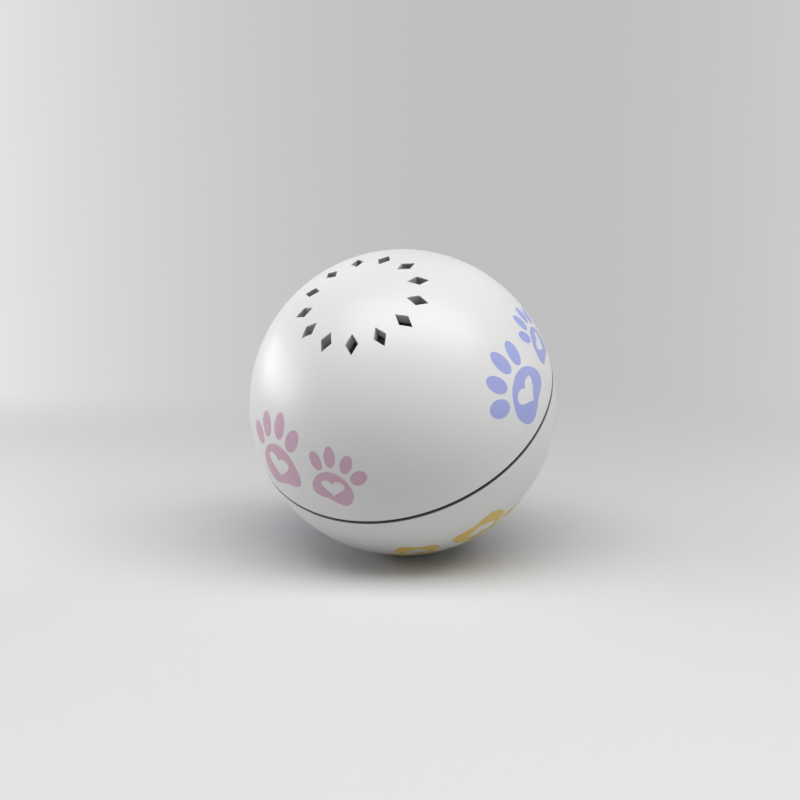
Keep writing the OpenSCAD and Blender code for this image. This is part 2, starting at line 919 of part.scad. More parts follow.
module motor_rotor() {
    armature_r = motor_h / 2 - can_wall - rotor_air;
    color("#9a9da1") translate([0, 0, motor_z]) {
        along_x(endcap_x + cap_floor + seat_gap, low_x + gear_face + seat_gap, shaft_d / 2);
        along_x(motor_x + seat_gap + brush_l, plate_x - can_wall - rotor_end, armature_r);
        along_x(motor_x + seat_gap, motor_x + 2 * seat_gap + brush_l, brush_r);
    }
}

module motor_pinion() {
    color("#d2b06a") translate([0, 0, motor_z]) difference() {
        pinion(low_x, 90);
        along_x(0, pod_half_l, shaft_d / 2 + press_fit / 2);
    }
}

module motor_screws() {
    color("#8f9296") for (s = [-1, 1]) translate([0, s * motor_screw_y, motor_z]) {
        along_x(plate_end - motor_screw_l, plate_end, motor_screw_r);
        along_x(plate_end, plate_end + motor_head_h, motor_head_r);
    }
}

// Cell, leads and ballast
module battery_cell() {
    color("#5d86b8") translate([cell_x, -cell_l / 2, cell_z]) rotate([-90, 0, 0]) {
        cylinder(d = cell_d, h = cell_l - cell_cap_h);
        cylinder(d = cell_d / 2, h = cell_l);
    }
}

module ballast() {
    color("#7d8084") difference() {
        along_x(ballast_x, ballast_x + ballast_l, ballast_r);
        translate([-ball_r, -ball_r, ballast_top]) cube(ball_d);
        translate([-ball_r, -motor_w / 2 - trough_gap, trough_z])
            cube([ball_d, motor_w + 2 * trough_gap, ball_d]);
    }
}

lead_rings = 10;
lead_sides = 8;
lead_gap = 0.05;
lead_bend = 4;
lead_in = 1.5;
function bezier(p, t) =
    pow(1 - t, 3) * p[0] + 3 * t * pow(1 - t, 2) * p[1] + 3 * t * t * (1 - t) * p[2] + pow(t, 3) * p[3];
function bezier_way(p, t) =
    pow(1 - t, 2) * (p[1] - p[0]) + 2 * t * (1 - t) * (p[2] - p[1]) + t * t * (p[3] - p[2]);
function lead_ring(p, t) =
    let (
        way = bezier_way(p, t),
        side = cross(way, [1, 0, 0]) / norm(cross(way, [1, 0, 0])),
        rise = cross(side, way) / norm(cross(side, way))
    )
    [for (k = [0 : lead_sides - 1])
        bezier(p, t) + lead_d / 2 * (cos(k * 360 / lead_sides) * side + sin(k * 360 / lead_sides) * rise)];

// One wire along a smooth curve with end points p[0] and p[3]
module lead(p) {
    points = [for (i = [0 : lead_rings]) each lead_ring(p, i / lead_rings)];
    last = lead_rings * lead_sides;
    sides = [for (i = [0 : lead_rings - 1], k = [0 : lead_sides - 1])
        let (a = i * lead_sides + k, b = i * lead_sides + (k + 1) % lead_sides)
        each [[a, a + lead_sides, b], [b, a + lead_sides, b + lead_sides]]];
    caps = [for (k = [1 : lead_sides - 2]) each [[0, k, k + 1], [last, last + k + 1, last + k]]];
    polyhedron(points, concat(sides, caps));
}

module battery_leads() {
    color("#b3322f") for (s = [-1, 1]) {
        y = s * (cell_l / 2 + lead_gap);
        x = cell_x + cell_d / 4;
        end_y = s * (board_w / 2 - lead_in);
        lead([
            [cell_x, y, cell_z],
            [cell_x, y + s * lead_bend, cell_z],
            [x, end_y, board_z - lead_bend],
            [x, end_y, board_z - lead_gap]
        ]);
    }
}

module motor_leads() {
    color("#2f6fb3") for (s = [-1, 1]) {
        x = terminal_x + terminal_t / 2;
        y = s * (terminal_out + lead_gap);
        end_y = s * (terminal_out + lead_in);
        lead([
            [x, y, motor_z],
            [x, y + s * lead_bend, motor_z],
            [x, end_y, board_z - lead_bend],
            [x, end_y, board_z - lead_gap]
        ]);
    }
}

// Board and controls
module control_board() {
    color("#2f6b45") difference() {
        translate([board_x, -board_w / 2, board_z]) cube([board_end - board_x, board_w, board_t]);
        at_pairs(post_x, post_y)
            translate([0, 0, board_z - over]) cylinder(r = screw_d / 2 + press_fit, h = board_t + 2 * over);
    }
}

module chip(x, y, size) {
    translate([x - size[0] / 2, y - size[1] / 2, board_top]) cube(size);
}

module board_chips() {
    color("#26282b") {
        chip(button_x, chip_y, controller);
        chip(socket_x, chip_y, charger);
        chip(lens_x, -chip_y, choke);
        chip(lens_x, lens_y, led);
        chip(button_x, -chip_y, resistor);
        translate([socket_x, -chip_y, board_top]) cylinder(d = capacitor_d, h = capacitor_h);
    }
}

module board_screws() {
    color("#8f9296") at_pairs(post_x, post_y)
        translate([0, 0, board_z]) rotate([180, 0, 0]) screw(board_screw_l);
}

module usb_socket() {
    color("#c3c6ca") translate([socket_x, 0, 0]) rotate([0, 0, 90]) {
        difference() {
            translate([0, 0, board_top]) linear_extrude(socket_top - board_top) stadium(socket_w, socket_t);
            translate([0, 0, socket_floor])
                linear_extrude(socket_top) stadium(socket_w - 2 * socket_sheet, socket_t - 2 * socket_sheet);
        }
        translate([-tongue_w / 2, -tongue_t / 2, socket_floor - tongue_foot])
            cube([tongue_w, tongue_t, socket_top - tongue_low - socket_floor + tongue_foot]);
    }
}

module tact_switch() {
    color("#303236") difference() {
        chip(button_x, 0, [switch_s, switch_s, switch_top - board_top]);
        translate([button_x, 0, switch_floor]) cylinder(r = plunger_r + fit, h = switch_top);
    }
}

module switch_plunger() {
    plunger_z = switch_floor + button_travel + fit;
    color("#8a8d91") translate([button_x, 0, plunger_z]) cylinder(r = plunger_r, h = plunger_top - plunger_z);
}

module power_button() {
    top = panel_z + button_proud;
    dish_half = button_d / 2 - button_rim;
    dish_r = (dish_half * dish_half + button_dish * button_dish) / 2 / button_dish;
    color("#e8e8e6") translate([button_x, 0, 0]) difference() {
        union() {
            translate([0, 0, plunger_top]) cylinder(r = plunger_r, h = flange_top - plunger_top);
            translate([0, 0, flange_z]) cylinder(r = button_flange_r, h = button_flange_t);
            translate([0, 0, flange_z]) cylinder(d = button_d, h = top - flange_z);
        }
        translate([0, 0, top + dish_r - button_dish]) sphere(dish_r);
    }
}

module status_lens() {
    color("#d9f0ff") translate([lens_x, lens_y, 0]) {
        translate([0, 0, lens_z]) cylinder(d = lens_d, h = panel_z + lens_proud - lens_z);
        translate([0, 0, panel_under - lens_flange_t]) cylinder(r = lens_flange_r, h = lens_flange_t);
    }
}

upper_shell();
lower_shell();
seam_seal();
vent_screen();
catnip_cup();
drive_axle();
idle_axle();
axle_keepers();
keeper_screws();
axle_bushes();
pod_base();
pod_cover();
pod_screws();
gear_plate();
gear_pins();
first_gear();
second_gear();
output_gear();
motor_can();
motor_endcap();
motor_terminals();
motor_rotor();
motor_pinion();
motor_screws();
battery_cell();
battery_leads();
motor_leads();
ballast();
control_board();
board_chips();
board_screws();
usb_socket();
tact_switch();
switch_plunger();
power_button();
status_lens();
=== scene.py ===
# %% [markdown]
# # A self-rolling cat ball
# The solids of the ball come ready from the CAD model: two white halves, a dark seal between them, and
# the geared drive pod inside. This lesson gives every solid its finish, adds fine pieces such as the printed
# paws, and sets up the studio. Everything is in metres, and the origin is the centre of the ball.

# %% Load the solids
import json
import math

import bmesh
import bpy
from mathutils import Matrix, Vector
from mathutils.geometry import interpolate_bezier


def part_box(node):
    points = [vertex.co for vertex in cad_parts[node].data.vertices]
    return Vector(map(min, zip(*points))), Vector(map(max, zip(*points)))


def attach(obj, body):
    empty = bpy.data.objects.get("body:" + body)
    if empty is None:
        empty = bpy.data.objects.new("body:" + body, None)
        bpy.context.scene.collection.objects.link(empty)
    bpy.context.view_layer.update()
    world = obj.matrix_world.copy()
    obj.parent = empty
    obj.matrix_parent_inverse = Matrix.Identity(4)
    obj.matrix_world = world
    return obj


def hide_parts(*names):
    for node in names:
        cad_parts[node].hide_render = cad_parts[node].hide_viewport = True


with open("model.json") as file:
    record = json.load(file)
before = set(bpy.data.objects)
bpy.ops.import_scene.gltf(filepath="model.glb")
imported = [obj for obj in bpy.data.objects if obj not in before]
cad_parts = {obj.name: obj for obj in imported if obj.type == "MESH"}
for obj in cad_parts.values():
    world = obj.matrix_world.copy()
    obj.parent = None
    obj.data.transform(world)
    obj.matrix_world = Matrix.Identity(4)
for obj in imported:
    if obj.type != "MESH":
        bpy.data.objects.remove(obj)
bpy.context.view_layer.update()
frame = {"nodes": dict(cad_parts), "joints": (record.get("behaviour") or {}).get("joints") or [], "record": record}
MM = 0.001

# %% [markdown]
# ## Where the ball points
# The upper half lifts off along the pole of the ball. That joint's axis is in the model, so the pole is
# read from it, and the ball's radius from the lower shell's lowest point. Longitude and latitude then
# name any spot on the shell, as on a globe.

# %% Pole, radius and the globe's grid
pole = Vector(next(j["axis"] for j in frame["joints"] if j["name"] == "lift")).normalized()
east = Vector((1, 0, 0))
globe = Matrix((east, pole.cross(east), pole)).transposed()
ball_r = -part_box("lower_shell")[0].z


def on_ball(longitude, latitude, radius):
    level = math.cos(latitude)
    spot = Vector((level * math.cos(longitude), level * math.sin(longitude), math.sin(latitude)))
    return globe @ spot * radius


print("ball radius:", round(ball_r / MM, 2), "mm, pole:", [round(v, 3) for v in pole])

# %% [markdown]
# ## Camera
# The photograph looks down at the ball by 12 degrees, with a lens that is twice as long as the picture
# is wide. The camera goes round the ball by its azimuth and elevation and then aims a little up and left
# of the centre, because the ball doesn't sit in the exact middle of the picture.

# %% Camera
CAMERA_AZIMUTH = math.radians(27.23)
CAMERA_ELEVATION = math.radians(12)
CAMERA_DISTANCE = 10.49 * ball_r
PICTURE_PX = 800
FOCAL_PX = 1600
BALL_PX = (402.92, 402.29)
SENSOR_MM = 36
NEAREST = 10 * MM

towards = Vector((
    math.sin(CAMERA_AZIMUTH) * math.cos(CAMERA_ELEVATION),
    -math.cos(CAMERA_AZIMUTH) * math.cos(CAMERA_ELEVATION),
    math.sin(CAMERA_ELEVATION),
))
rightwards = Vector((math.cos(CAMERA_AZIMUTH), math.sin(CAMERA_AZIMUTH), 0))
upwards = towards.cross(rightwards)
metres_per_px = CAMERA_DISTANCE / FOCAL_PX
aim = (rightwards * (PICTURE_PX / 2 - BALL_PX[0]) + upwards * (BALL_PX[1] - PICTURE_PX / 2)) * metres_per_px

lens = bpy.data.cameras.new("camera")
lens.sensor_width = SENSOR_MM
lens.lens = SENSOR_MM * FOCAL_PX / PICTURE_PX
lens.clip_start = NEAREST
camera = bpy.data.objects.new("camera", lens)
camera.location = towards * CAMERA_DISTANCE
camera.rotation_euler = (aim - camera.location).to_track_quat("-Z", "Y").to_euler()
bpy.context.scene.collection.objects.link(camera)
bpy.context.scene.camera = camera
print("camera at", [round(v, 3) for v in camera.location])

# %% [markdown]
# ## Writing finishes as expressions
# A finish is a small network of shader nodes. Adding and linking every node by hand makes long code that
# hides the formula, so this class wraps a socket and lets it be added and multiplied like a number.

# %% A value in a network
class Flow:
    """A value on its way through a network: arithmetic on it adds Math nodes."""

    def __init__(self, network, socket):
        self.network = network
        self.socket = socket

    def math(self, operation, first, second=0.0):
        return self.network.node("ShaderNodeMath", {"operation": operation}, {0: first, 1: second})

    def __add__(self, other):
        return self.math("ADD", self, other)

    __radd__ = __add__

    def __sub__(self, other):
        return self.math("SUBTRACT", self, other)

    def __rsub__(self, other):
        return self.math("SUBTRACT", other, self)

    def __mul__(self, other):
        return self.math("MULTIPLY", self, other)

    __rmul__ = __mul__

    def __truediv__(self, other):
        return self.math("DIVIDE", self, other)

    def __rtruediv__(self, other):
        return self.math("DIVIDE", other, self)

    def above(self, level):
        return self.math("GREATER_THAN", self, level)

    def below(self, level):
        return self.math("LESS_THAN", self, level)

    def capped(self, level):
        return self.math("MINIMUM", self, level)

    def size(self):
        return self.math("ABSOLUTE", self)

    def wave(self):
        return self.math("SINE", self)

    def rise(self, start, end):
        """0 up to start, 1 from end, and a smooth way between."""
        sockets = {"Value": self, "From Min": start, "From Max": end}
        return self.network.node("ShaderNodeMapRange", {"interpolation_type": "SMOOTHSTEP"}, sockets)


print(Flow.__doc__)

# %% [markdown]
# ## Networks
# Nodes that aren't arithmetic differ only in their type, their settings and their sockets. A function for
# each of them would repeat itself, so one method adds any node, for a material and for the room alike.

# %% A network of nodes
class Network:
    """A tree of shader nodes, with one method that adds any node to it."""

    def __init__(self, tree):
        self.tree = tree

    def node(self, kind, settings=None, sockets=None, out=0):
        made = self.tree.nodes.new(kind)
        for name, value in (settings or {}).items():
            setattr(made, name, value)
        for name, value in (sockets or {}).items():
            if isinstance(value, Flow):
                self.tree.links.new(value.socket, made.inputs[name])
            else:
                made.inputs[name].default_value = value
        return Flow(self, made.outputs[out])

    def blend(self, share, low, high):
        """From the colour low to the colour high, each a triple or a colour made before."""
        ends = [colour if isinstance(colour, Flow) else (*colour, 1) for colour in (low, high)]
        return self.node("ShaderNodeMix", {"data_type": "RGBA"}, {0: share, 6: ends[0], 7: ends[1]}, 2)

    def looked_at(self):
        """1 for what is seen straight, in a gloss or through glass, and 0 for what only gives light."""
        rays = ("Is Camera Ray", "Is Glossy Ray", "Is Transmission Ray")
        return sum(self.node("ShaderNodeLightPath", out=ray) for ray in rays).capped(1.0)

    def ends_in(self, kind, flow):
        self.tree.links.new(flow.socket, self.tree.nodes[kind].inputs["Surface"])


print(Network.__doc__)

# %% [markdown]
# ## Finishes
# Each material of the ball is one finish. What is the same all over it stays on the shader itself, and only
# what varies from spot to spot comes from nodes. Patterns could be laid out on an unwrapped mesh, but these
# are laid out in metres from the ball's centre, so they have the same scale on every piece.

# %% A finish
class Finish(Network):
    """A material whose fixed values sit on the shader, and whose detail comes from nodes."""

    def __init__(self, name, **fixed):
        self.material = bpy.data.materials.new(name)
        self.material.use_nodes = True
        super().__init__(self.material.node_tree)
        self.shader = self.tree.nodes["Principled BSDF"]
        for socket, value in fixed.items():
            self.shader.inputs[socket.replace("_", " ")].default_value = value
        self.place = self.node("ShaderNodeTexCoord", out="Object")

    def feed(self, socket, flow):
        self.tree.links.new(flow.socket, self.shader.inputs[socket])
        return self

    def stretched(self, x, y, z):
        return self.node("ShaderNodeMapping", sockets={"Vector": self.place, "Scale": (x, y, z)})

    def along(self, axis):
        return self.node("ShaderNodeSeparateXYZ", sockets={0: self.place}, out=axis)

    def noise(self, size, detail=2.0, at=None):
        sockets = {"Vector": at or self.place, "Scale": 1 / size, "Detail": detail}
        return self.node("ShaderNodeTexNoise", sockets=sockets)

    def far_out(self):
        """How far a spot lies from the origin."""
        return self.node("ShaderNodeVectorMath", {"operation": "LENGTH"}, {0: self.place}, "Value")

    def towards(self, direction):
        """How far a spot lies from the origin along a direction."""
        sockets = {0: self.place, 1: direction}
        return self.node("ShaderNodeVectorMath", {"operation": "DOT_PRODUCT"}, sockets, "Value")

    def bump(self, height, depth, strength=1.0):
        sockets = {"Height": height, "Distance": depth, "Strength": strength}
        return self.feed("Normal", self.node("ShaderNodeBump", sockets=sockets))


print(Finish.__doc__)

# %% [markdown]
# ## Finish of the shell
# The shell is injection-moulded plastic with a satin gloss: nearly even, but its gloss wanders a little
# and its skin has a very fine grain. Shade is painted into its colour where little light gets in: under the
# skin of the cap, on the narrow walls of the vents, and in the two fine edges along the seam. There the
# plastic is painted greyer. This painted shade could be drawn on by hand, but a spot's depth under the skin
# and its height along the pole already say where it lies.

# %% Shell
finishes = {}


def finish(slot, **fixed):
    finishes[slot] = Finish(slot, **fixed)
    return finishes[slot]


SHELL_CLOUD = 25 * MM
SHELL_GRAIN = 0.35 * MM
SHELL_WHITES = ((0.77, 0.77, 0.765), (0.81, 0.81, 0.805))
# Painted shade: the vent walls and the inside of the cap are painted greyer, where little light gets in
VENT_CAP = 31 * MM
VENT_SHADE_STARTS = (0.05 * MM, 0.5 * MM)
VENT_SHADE = (0.57, 0.57, 0.565)
# Painted shade: the two fine edges along the seam are painted dark, like the shade down in the seam
SEAM_EDGE = 0.52 * MM
SEAM_EDGE_DEPTH = 0.3 * MM
SEAM_SHADE = (0.2, 0.2, 0.2)

shell = finish("white_shell")
cloud = shell.noise(SHELL_CLOUD, 3.0)
grain = shell.noise(SHELL_GRAIN, 1.0)
skin = shell.blend(cloud, *SHELL_WHITES)
height = shell.towards(pole)
depth = ball_r - shell.far_out()
vent_shade_share = depth.rise(*VENT_SHADE_STARTS) * height.above(VENT_CAP)
seam_shade_share = height.size().below(SEAM_EDGE) * depth.below(SEAM_EDGE_DEPTH)
shell.feed("Base Color", shell.blend(seam_shade_share, shell.blend(vent_shade_share, skin, VENT_SHADE), SEAM_SHADE))
shell.feed("Roughness", 0.3 + 0.06 * cloud + 0.04 * grain)
shell.bump(grain, 0.004 * MM, 0.6)
print("shell nodes:", len(shell.tree.nodes))

# %% [markdown]
# ## Finishes of the seal and the screen
# The seal is soft black rubber with a little dust on it, and the screen behind the vents is a fine dark
# mesh. Wires of its own would take many faces for what is hardly seen, so two waves that cross make the
# weave.

# %% Seal and screen
seal = finish("seal", Specular_IOR_Level=0.25)
dust = seal.noise(0.5 * MM, 4.0)
seal.feed("Base Color", seal.blend(dust, (0.012, 0.012, 0.013), (0.035, 0.035, 0.037)))
seal.feed("Roughness", 0.6 + 0.2 * dust)
seal.bump(dust, 0.02 * MM)

screen = finish("screen")
WIRE_PITCH = 0.6 * MM
threads = [(screen.along(axis) * (2 * math.pi / WIRE_PITCH)).wave() for axis in (0, 1)]
weave = (threads[0] * threads[1]) * 0.5 + 0.5
screen.feed("Base Color", screen.blend(weave, (0.004, 0.004, 0.004), (0.03, 0.03, 0.032)))
screen.feed("Roughness", 0.75 - 0.2 * weave)
screen.bump(weave, 0.08 * MM)
print("outside finishes:", sorted(finishes))

# %% [markdown]
# ## Finishes of the inside
# With the ball open, the drive pod, its control panel and the cup show. Most of them are moulded, and take
# over the spark-eroded grain of a steel mould. That grain is far too fine to be cut into the faces, so one
# function puts it into the shading, and each plastic has its own two tints.

# %% Moulded plastics
def moulded(slot, low, high, grain_size, grain_depth, roughness):
    made = finish(slot)
    tint = made.noise(12 * MM, 3.0)
    skin = made.noise(grain_size, 2.0)
    made.feed("Base Color", made.blend(tint * 0.6 + skin * 0.4, low, high))
    made.feed("Roughness", roughness + 0.12 * skin)
    return made.bump(skin, grain_depth)


moulded("pod", (0.075, 0.08, 0.086), (0.115, 0.12, 0.127), 0.5 * MM, 0.03 * MM, 0.45)
moulded("cup", (0.03, 0.031, 0.034), (0.052, 0.053, 0.057), 0.4 * MM, 0.02 * MM, 0.38)
moulded("gear", (0.70, 0.63, 0.46), (0.78, 0.72, 0.55), 0.3 * MM, 0.006 * MM, 0.35)
moulded("endcap", (0.74, 0.73, 0.69), (0.80, 0.79, 0.75), 0.3 * MM, 0.008 * MM, 0.4)
moulded("chip", (0.012, 0.012, 0.013), (0.03, 0.03, 0.032), 0.2 * MM, 0.01 * MM, 0.5)
moulded("button", (0.62, 0.62, 0.61), (0.70, 0.70, 0.69), 0.25 * MM, 0.015 * MM, 0.48)
moulded("red_wire", (0.36, 0.018, 0.014), (0.45, 0.03, 0.022), 0.6 * MM, 0.01 * MM, 0.32)
moulded("blue_wire", (0.02, 0.10, 0.33), (0.035, 0.15, 0.42), 0.6 * MM, 0.01 * MM, 0.32)
print("plastics ready:", len(finishes))

# %% [markdown]
# ## Metals
# Metal has fine streaks along the direction it was turned or rolled, and duller patches of tarnish. An even
# gloss would look like chrome plate, so noise that is stretched along the streaks breaks it up.

# %% Metals
def metal(slot, low, high, streak, roughness):
    made = finish(slot, Metallic=1.0)
    lines = made.noise(0.4 * MM, 3.0, made.stretched(*streak))
    tarnish = made.noise(6 * MM, 3.0)
    made.feed("Base Color", made.blend(tarnish, low, high))
    made.feed("Roughness", roughness + 0.14 * lines + 0.08 * tarnish)
    return made.bump(lines, 0.006 * MM)


metal("steel", (0.48, 0.48, 0.49), (0.62, 0.62, 0.63), (1, 1, 0.1), 0.22)
metal("brass", (0.60, 0.42, 0.17), (0.74, 0.55, 0.25), (0.1, 1, 1), 0.2)
metal("plate", (0.60, 0.61, 0.62), (0.72, 0.73, 0.74), (1, 0.06, 1), 0.3)
print("metals ready:", len(finishes))

# %% [markdown]
# ## Cell, board and lens
# The cell wears a shrunk blue sleeve with bare ends, the board has copper tracks under its green coat, and
# the lens is clear plastic with a slight frost. The tracks could be a picture, but a wave that wanders with
# noise draws them sharp from near and far.

# %% Cell sleeve, board and lens
cell = finish("cell")
SLEEVE_END = 10.3 * MM
crinkle = cell.noise(1.5 * MM, 3.0, cell.stretched(1, 0.2, 1))
ends = cell.along(1).size().above(SLEEVE_END)
cell.feed("Base Color", cell.blend(ends, (0.09, 0.20, 0.42), (0.62, 0.63, 0.64)))
cell.feed("Roughness", 0.25 + 0.2 * crinkle)
cell.bump(crinkle, 0.03 * MM)

board = finish("board")
TRACK_PITCH = 1.3 * MM
TRACK_WANDER = 2.5
TRACK_EDGE = 0.35
wander = TRACK_WANDER * board.noise(9 * MM, 0.0)
tracks = (board.along(1) * (2 * math.pi / TRACK_PITCH) + wander).wave().above(TRACK_EDGE)
weft = board.noise(0.3 * MM, 1.0)
board.feed("Base Color", board.blend(tracks, (0.012, 0.085, 0.036), (0.03, 0.16, 0.07)))
board.feed("Roughness", 0.28 + 0.12 * weft)
board.bump(tracks, 0.03 * MM)

pipe = finish("lens", Transmission_Weight=0.85, IOR=1.49)
frost = pipe.noise(0.3 * MM, 2.0)
pipe.feed("Base Color", pipe.blend(frost, (0.72, 0.86, 0.93), (0.80, 0.91, 0.96)))
pipe.feed("Roughness", 0.12 + 0.1 * frost)
pipe.bump(frost, 0.004 * MM)
print("all finishes:", len(finishes))

# %% [markdown]
# ## Finishes onto the solids
# Each solid names its material slot in the record, and the finish with that name goes on it.

# %% Dress the solids
slot_of = {part["node"]: part["material_slot"] for part in frame["record"]["subparts"]}
for name, solid in frame["nodes"].items():
    solid.material_slots[0].material = finishes[slot_of[name]].material
print("dressed:", len(slot_of))

# %% [markdown]
# ## From a drawing to a piece
# Most new pieces start as a closed loop of points, and every one ends in the same way: round faces are
# shaded smooth and real edges stay sharp, the mesh gets its finish, and the piece is told which body of the
# ball it moves with.

# %% Start and keep a piece
SHARP = math.radians(35)


def add_loop(bm, points):
    ring = [bm.verts.new(point) for point in points]
    return [bm.edges.new((ring[k - 1], ring[k])) for k in range(len(ring))]


def keep_piece(bm, name, look, body):
    for face in bm.faces:
        face.smooth = True
    for edge in bm.edges:
        edge.smooth = edge.calc_face_angle(math.pi) < SHARP
    mesh = bpy.data.meshes.new(name)
    bm.to_mesh(mesh)
    bm.free()
    mesh.materials.append(look.material)
    piece = bpy.data.objects.new(name, mesh)
    bpy.context.scene.collection.objects.link(piece)
    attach(piece, body)
    return piece


print("edges stay sharp from", round(math.degrees(SHARP)), "degrees")

# %% [markdown]
# ## Bead of the seal
# A seal for a seam has a soft bead that fills the gap nearly up to the skin, which is why the seam reads as
# one dark line. The bead could be a torus, but it is flat outside with two rounded corners, so a rectangle
# gets its corners bevelled and is spun once about the pole. It moves with the seal.

# %% Seal bead
SEAL_DEPTH = 0.8 * MM
BEAD_DEPTH = 0.08 * MM
BEAD_WIDTH = 0.66 * MM
BEAD_ROOT = 0.1 * MM
BEAD_CORNER = 0.12 * MM
BEAD_CORNER_STEPS = 3
BEAD_STEPS = 240
MERGE = 0.001 * MM

bm = bmesh.new()
bead_in = ball_r - SEAL_DEPTH - BEAD_ROOT
bead_out = ball_r - BEAD_DEPTH
half = BEAD_WIDTH / 2
corners = [(bead_in, -half), (bead_out, -half), (bead_out, half), (bead_in, half)]
add_loop(bm, [globe @ Vector((reach, 0, level)) for reach, level in corners])
outside = [vert for vert in bm.verts if vert.co.length > ball_r - SEAL_DEPTH]
bmesh.ops.bevel(bm, geom=outside, offset=BEAD_CORNER, segments=BEAD_CORNER_STEPS, profile=0.5,
                affect="VERTICES", material=-1)
bmesh.ops.spin(bm, geom=bm.verts[:] + bm.edges[:], cent=(0, 0, 0), axis=pole, angle=2 * math.pi,
               steps=BEAD_STEPS, use_merge=True)
bmesh.ops.remove_doubles(bm, verts=bm.verts, dist=MERGE)
bmesh.ops.recalc_face_normals(bm, faces=bm.faces)
bead = keep_piece(bm, "seal_bead", finishes["seal"], "seal_ring")
print("seal bead:", len(bead.data.polygons), "faces")

# %% [markdown]
# ## Screws
# With the ball open, the screws of the axle keepers and of the pod show their heads. Their solids are plain
# turned shapes, and a bought screw has a domed head with a tapered cross in it. Cylinders could be joined,
# but one spin of half the profile gives head and shank at once. Its top is left open for the cross.

# %% Screw without its cross
HEAD_R = 1.75 * MM
HEAD_H = 1.2 * MM
HEAD_FLAT = 1.35 * MM
HEAD_DOME = 0.45 * MM
HEAD_DOME_STEPS = 4
SHANK_R = 0.95 * MM
SCREW_STEPS = 24


def spun_screw(shank_l):
    """A screw along Z with its top still open. Its head sits on the origin."""
    bm = bmesh.new()
    profile = [
        (HEAD_FLAT, HEAD_H), (HEAD_R, HEAD_H), (HEAD_R, 0),
        (SHANK_R, 0), (SHANK_R, -shank_l), (0, -shank_l),
    ]
    chain = [bm.verts.new((reach, 0, level)) for reach, level in profile]
    for pair in zip(chain, chain[1:]):
        bm.edges.new(pair)
    bmesh.ops.bevel(bm, geom=chain[1:2], offset=HEAD_DOME, segments=HEAD_DOME_STEPS, profile=0.5,
                    affect="VERTICES", material=-1, clamp_overlap=True)
    bmesh.ops.spin(bm, geom=bm.verts[:] + bm.edges[:], cent=(0, 0, 0), axis=(0, 0, 1), angle=2 * math.pi,
                   steps=SCREW_STEPS, use_merge=True)
    bmesh.ops.remove_doubles(bm, verts=bm.verts, dist=MERGE)
    return bm


print("screw head:", round(2 * HEAD_R / MM, 2), "mm across")

# %% [markdown]
# ## The cross in the head
# A cross could be cut out with a Boolean, but that leaves ragged faces. Here the open rim of the head is
# bridged to the outline of the cross, which is then pushed down, drawn in a little and closed.

# %% Screw with its cross
CROSS_ARM = 1.1 * MM
CROSS_HALF = 0.25 * MM
CROSS_DEPTH = 0.7 * MM
CROSS_TAPER = 0.55


def screw_mesh(name, shank_l):
    bm = spun_screw(shank_l)
    rim = [edge for edge in bm.edges if edge.is_boundary]
    arm = [(CROSS_ARM, -CROSS_HALF), (CROSS_ARM, CROSS_HALF), (CROSS_HALF, CROSS_HALF)]
    turns = [Matrix.Rotation(k * math.pi / 2, 3, "Z") for k in range(4)]
    cross = add_loop(bm, [turn @ Vector((x, y, HEAD_H)) for turn in turns for x, y in arm])
    bmesh.ops.bridge_loops(bm, edges=rim + cross)
    walls = bmesh.ops.extrude_edge_only(bm, edges=cross)["geom"]
    low = [part for part in walls if isinstance(part, bmesh.types.BMVert)]
    bmesh.ops.translate(bm, vec=(0, 0, -CROSS_DEPTH), verts=low)
    bmesh.ops.scale(bm, vec=(CROSS_TAPER, CROSS_TAPER, 1), verts=low)
    bmesh.ops.edgeloop_fill(bm, edges=[edge for edge in bm.edges if edge.is_boundary])
    bmesh.ops.recalc_face_normals(bm, faces=bm.faces)
    mesh = bpy.data.meshes.new(name)
    bm.to_mesh(mesh)
    bm.free()
    return mesh


print("cross:", round(2 * CROSS_ARM / MM, 2), "mm across,", round(CROSS_DEPTH / MM, 2), "mm deep")

# %% [markdown]
# ## Screws in their places
# One screw is copied to each place of its solid and takes the solid's place in the scene. The keepers lean
# with the pole, so their screws stand in the grid of the globe, and the pod's screws stand upright.

# %% Keeper and pod screws
KEEPER_SCREW_X = (-27.2 * MM, 27.2 * MM)
KEEPER_SCREW_Y = 4.5 * MM
KEEPER_SCREW_SEAT = 4.3 * MM
KEEPER_SHANK = 7.3 * MM
POD_SCREW_X = (-18.2 * MM, 15.3 * MM)
POD_SCREW_Y = 16.2 * MM
POD_SCREW_SEAT = 6 * MM
POD_SHANK = 12 * MM


def set_screws(node, body, shank_l, grid, reaches, aside, seat):
    pattern = screw_mesh(node + "_pattern", shank_l)
    bm = bmesh.new()
    for x in reaches:
        for y in (-aside, aside):
            first = len(bm.verts)
            bm.from_mesh(pattern)
            bm.verts.ensure_lookup_table()
            place = grid.to_4x4() @ Matrix.Translation((x, y, seat))
            bmesh.ops.transform(bm, matrix=place, verts=bm.verts[first:])
    bpy.data.meshes.remove(pattern)
    screws = keep_piece(bm, "crossed_" + node, finishes["steel"], body)
    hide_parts(node)
    print(screws.name + ":", len(screws.data.polygons), "faces")


set_screws("keeper_screws", "lower_half", KEEPER_SHANK, globe,
           KEEPER_SCREW_X, KEEPER_SCREW_Y, KEEPER_SCREW_SEAT)
set_screws("pod_screws", "drive_unit", POD_SHANK, Matrix.Identity(3),
           POD_SCREW_X, POD_SCREW_Y, POD_SCREW_SEAT)

# %% [markdown]
# ## Paw prints
# The prints are ink, pad-printed on the shell after moulding. A painted texture would blur close up, so
# each print is a very thin film of its own: a flat drawing in millimetres, wrapped onto the globe and
# given its thickness. A paw is one pad with a heart left open and four toes. Every large paw has a small
# one beside it, which is its mirror image. The pad comes first, as a smooth curve through a few points.

